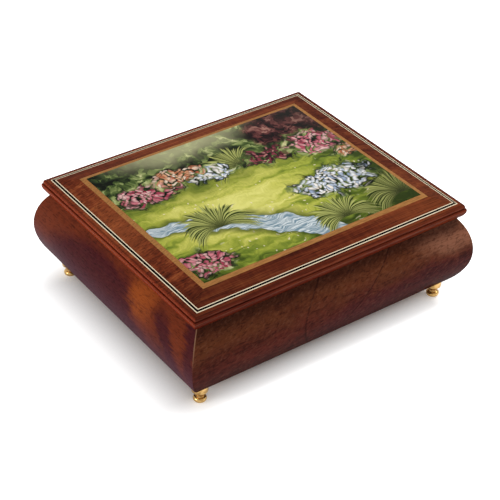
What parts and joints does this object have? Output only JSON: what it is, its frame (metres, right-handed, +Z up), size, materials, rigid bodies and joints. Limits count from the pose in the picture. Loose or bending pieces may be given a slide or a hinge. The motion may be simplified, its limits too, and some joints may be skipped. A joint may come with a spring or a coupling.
{
  "type": "cylinder music box",
  "caption": "Bulging wooden musical jewel box on turned brass feet, with a hinged inlaid lid and a wind-up pinned-cylinder movement under a clear cover.",
  "frame": {"origin": "on the floor under the middle of the case", "axes": "+X along the long front, +Y from front to back, +Z up"},
  "size_m": [0.218, 0.186, 0.0771],
  "materials": {
    "walnut_veneer": "high gloss lacquer",
    "mahogany": "high gloss lacquer",
    "bottom_ply": "satin",
    "cedar": "satin",
    "white_holly": "gloss lacquer",
    "black_ebony": "gloss lacquer",
    "golden_satinwood": "gloss lacquer",
    "picture_print": "lacquered printed picture",
    "velvet": "short pile velvet",
    "polished_brass": "polished",
    "steel": "brushed",
    "cast_zinc": "gold-bronze painted casting",
    "clear_acrylic": "clear gloss sheet"
  },
  "bodies": {
    "case": {"front_wall": "walnut_veneer", "back_wall": "walnut_veneer", "left_wall": "walnut_veneer", "right_wall": "walnut_veneer", "bottom_board": "bottom_ply", "foot_front_left": "polished_brass", "foot_front_right": "polished_brass", "foot_back_left": "polished_brass", "foot_back_right": "polished_brass", "hinge_case_leaf_left": "polished_brass", "hinge_case_leaf_right": "polished_brass", "hinge_pin_left": "steel", "hinge_pin_right": "steel", "hinge_screws_case": "polished_brass", "long_partition": "cedar", "cross_partition": "cedar", "cover_ledge": "cedar", "movement_cover": "clear_acrylic", "jewel_bay_lining": "velvet", "jewel_pad": "velvet", "ring_rolls": "velvet", "bedplate": "cast_zinc", "left_bracket": "cast_zinc", "right_bracket": "cast_zinc", "governor_cock": "cast_zinc", "plate_screws": "steel", "mount_screws": "steel", "comb": "steel", "comb_riser": "cast_zinc"},
    "lid": {"lid_rail_front": "mahogany", "lid_rail_back": "mahogany", "lid_rail_left": "mahogany", "lid_rail_right": "mahogany", "outer_white_stringing": "white_holly", "black_stringing": "black_ebony", "inner_white_stringing": "white_holly", "golden_banding": "golden_satinwood", "lid_panel": "bottom_ply", "picture_plate": "picture_print", "lid_lining": "velvet", "hinge_lid_leaf_left": "polished_brass", "hinge_lid_leaf_right": "polished_brass", "hinge_screws_lid": "polished_brass"},
    "winder": {"winding_arbor": "steel", "winding_key": "polished_brass"},
    "barrel": {"spring_barrel": "polished_brass", "barrel_cover": "polished_brass", "mainspring": "steel"},
    "cylinder": {"pin_cylinder": "polished_brass", "cylinder_arbor": "steel", "cylinder_pinion": "steel", "cylinder_wheel": "polished_brass"},
    "governor": {"governor_arbor": "steel", "governor_pinion": "steel", "worm_wheel": "polished_brass"},
    "fan": {"worm_arbor": "steel", "governor_fan": "polished_brass"},
    "stop": {"stop_rod": "steel"}
  },
  "joints": [
    {"name": "lid_open", "type": "hinge", "parent": "case", "child": "lid", "pos_m": [0, 0.0885, 0.06365], "axis": [-1, 0, 0], "range_deg": [0, 100]},
    {"name": "key_wind", "type": "hinge", "parent": "case", "child": "winder", "pos_m": [-0.0471, 0.0472, 0.0075], "axis": [0, 0, 1], "range_deg": [0, 1800], "deforming": ["mainspring"]},
    {"name": "barrel_turn", "type": "hinge", "parent": "case", "child": "barrel", "pos_m": [-0.0471, 0.0472, 0.022], "axis": [0, 0, 1], "continuous": true},
    {"name": "cylinder_spin", "type": "hinge", "parent": "case", "child": "cylinder", "pos_m": [-0.0702, 0.0472, 0.0355], "axis": [1, 0, 0], "continuous": true},
    {"name": "governor_spin", "type": "hinge", "parent": "case", "child": "governor", "pos_m": [-0.075, 0.0572, 0.028], "axis": [1, 0, 0], "continuous": true},
    {"name": "fan_spin", "type": "hinge", "parent": "case", "child": "fan", "pos_m": [-0.0732, 0.0626, 0.033], "axis": [0, 0, 1], "continuous": true},
    {"name": "stop_rod_slide", "type": "slide", "parent": "case", "child": "stop", "axis": [0, 0, 1], "range_m": [0, 0.003]}
  ],
  "couplings": [
    {"joint": "cylinder_spin", "follows": "barrel_turn", "ratio": -2.5},
    {"joint": "governor_spin", "follows": "barrel_turn", "ratio": 10},
    {"joint": "fan_spin", "follows": "barrel_turn", "ratio": -200},
    {"joint": "stop_rod_slide", "follows": "lid_open", "m_per_rad": 0.0017}
  ]
}
